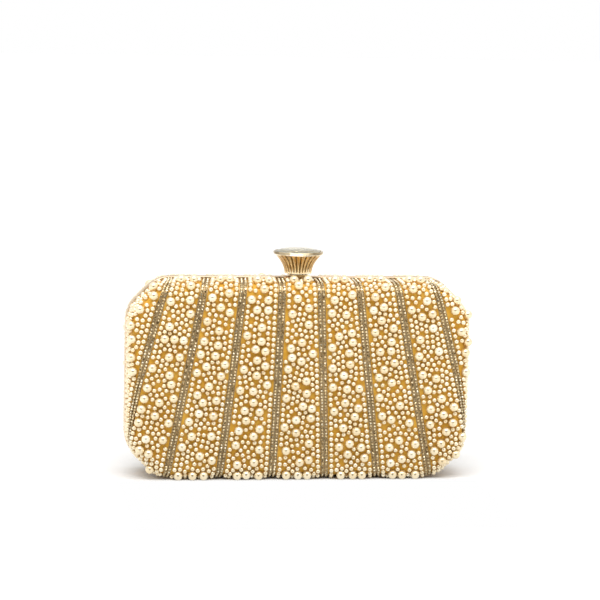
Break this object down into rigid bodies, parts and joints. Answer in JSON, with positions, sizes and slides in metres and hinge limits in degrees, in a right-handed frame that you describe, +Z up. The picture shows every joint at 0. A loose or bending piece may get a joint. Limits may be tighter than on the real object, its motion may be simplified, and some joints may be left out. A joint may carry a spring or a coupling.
{
  "type": "evening bag",
  "caption": "Hard box clutch in two dished halves, pearl and crystal covered, with thin metal frames, bottom hinges and a fluted press knob on top.",
  "frame": {"origin": "centre of the bag's footprint, on the surface it stands on", "axes": "+Z up, X across the bag, -Y out of the front half; the halves meet at y = 0"},
  "size_m": [0.1974, 0.0472, 0.1304],
  "materials": {
    "pearl_cover": "golden fabric closely sewn with cream glass pearls",
    "rhinestone": "champagne foiled rhinestones in metal cups",
    "moulded_shell": "matt moulded board",
    "satin": "soft gold satin",
    "frame_gold": "polished pale rose gold plate",
    "knob_gold": "polished antique gold plate",
    "clear_stone": "faceted clear champagne crystal",
    "latch_steel": "satin plated steel"
  },
  "bodies": {
    "root": {"bracket_screw_1": "latch_steel", "bracket_screw_2": "latch_steel", "guide_bush": "frame_gold", "hinge_leaf_rear_left": "frame_gold", "hinge_leaf_rear_right": "frame_gold", "hinge_pin_left": "latch_steel", "hinge_pin_right": "latch_steel", "latch_bracket": "latch_steel", "latch_spring": "latch_steel", "rear_crystal_band_1": "rhinestone", "rear_crystal_band_2": "rhinestone", "rear_crystal_band_3": "rhinestone", "rear_crystal_band_4": "rhinestone", "rear_crystal_band_5": "rhinestone", "rear_crystal_band_6": "rhinestone", "rear_crystal_band_7": "rhinestone", "rear_crystal_band_8": "rhinestone", "rear_frame": "frame_gold", "rear_lining": "satin", "rear_pearl_cover": "pearl_cover", "rear_shell": "moulded_shell", "slip_pocket": "satin"},
    "front_half": {"front_crystal_band_1": "rhinestone", "front_crystal_band_2": "rhinestone", "front_crystal_band_3": "rhinestone", "front_crystal_band_4": "rhinestone", "front_crystal_band_5": "rhinestone", "front_crystal_band_6": "rhinestone", "front_crystal_band_7": "rhinestone", "front_crystal_band_8": "rhinestone", "front_frame": "frame_gold", "front_lining": "satin", "front_pearl_cover": "pearl_cover", "front_shell": "moulded_shell", "hinge_leaf_front_left": "frame_gold", "hinge_leaf_front_right": "frame_gold", "keeper": "latch_steel", "keeper_screw_1": "latch_steel", "keeper_screw_2": "latch_steel"},
    "knob": {"knob_bezel": "knob_gold", "knob_body": "knob_gold", "knob_stem": "latch_steel", "knob_stone": "clear_stone", "latch_hook": "latch_steel", "stem_nut": "latch_steel"}
  },
  "joints": [
    {"name": "front_open", "type": "hinge", "parent": "root", "child": "front_half", "pos_m": [0, 0, 0.00165], "axis": [1, 0, 0], "range_deg": [0, 80]},
    {"name": "knob_press", "type": "slide", "parent": "root", "child": "knob", "axis": [0, 0, -1], "range_m": [0, 0.0015], "stiffness_N_per_m": 700, "springref_m": -0.003, "deforming": ["latch_spring"]}
  ]
}
